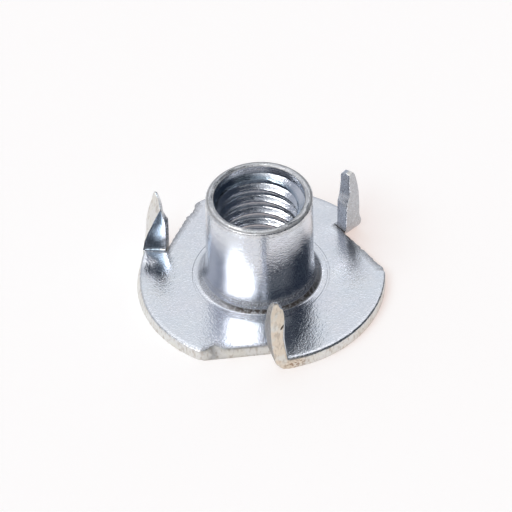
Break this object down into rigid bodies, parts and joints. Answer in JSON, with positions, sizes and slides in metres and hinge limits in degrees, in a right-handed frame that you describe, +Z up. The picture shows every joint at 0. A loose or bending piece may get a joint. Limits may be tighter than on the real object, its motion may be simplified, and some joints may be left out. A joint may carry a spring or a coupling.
{
  "type": "tee nut",
  "caption": "Round stamped tee nut with a drawn threaded barrel and upright prongs lanced from its flange, for holding a machine screw in wood.",
  "frame": {"origin": "thread axis at the plane of the flange's underside", "axes": "+Z up the barrel, from the flange to the barrel's open rim; +X is square to the thread axis, and the first prong's cut faces 276 degrees round from it towards +Y"},
  "size_m": [0.0222, 0.0222, 0.0105],
  "materials": {
    "zinc": "bright zinc plate, satin gloss, with bare sheared edges"
  },
  "bodies": {
    "root": {"tee_nut": "zinc"}
  },
  "joints": []
}
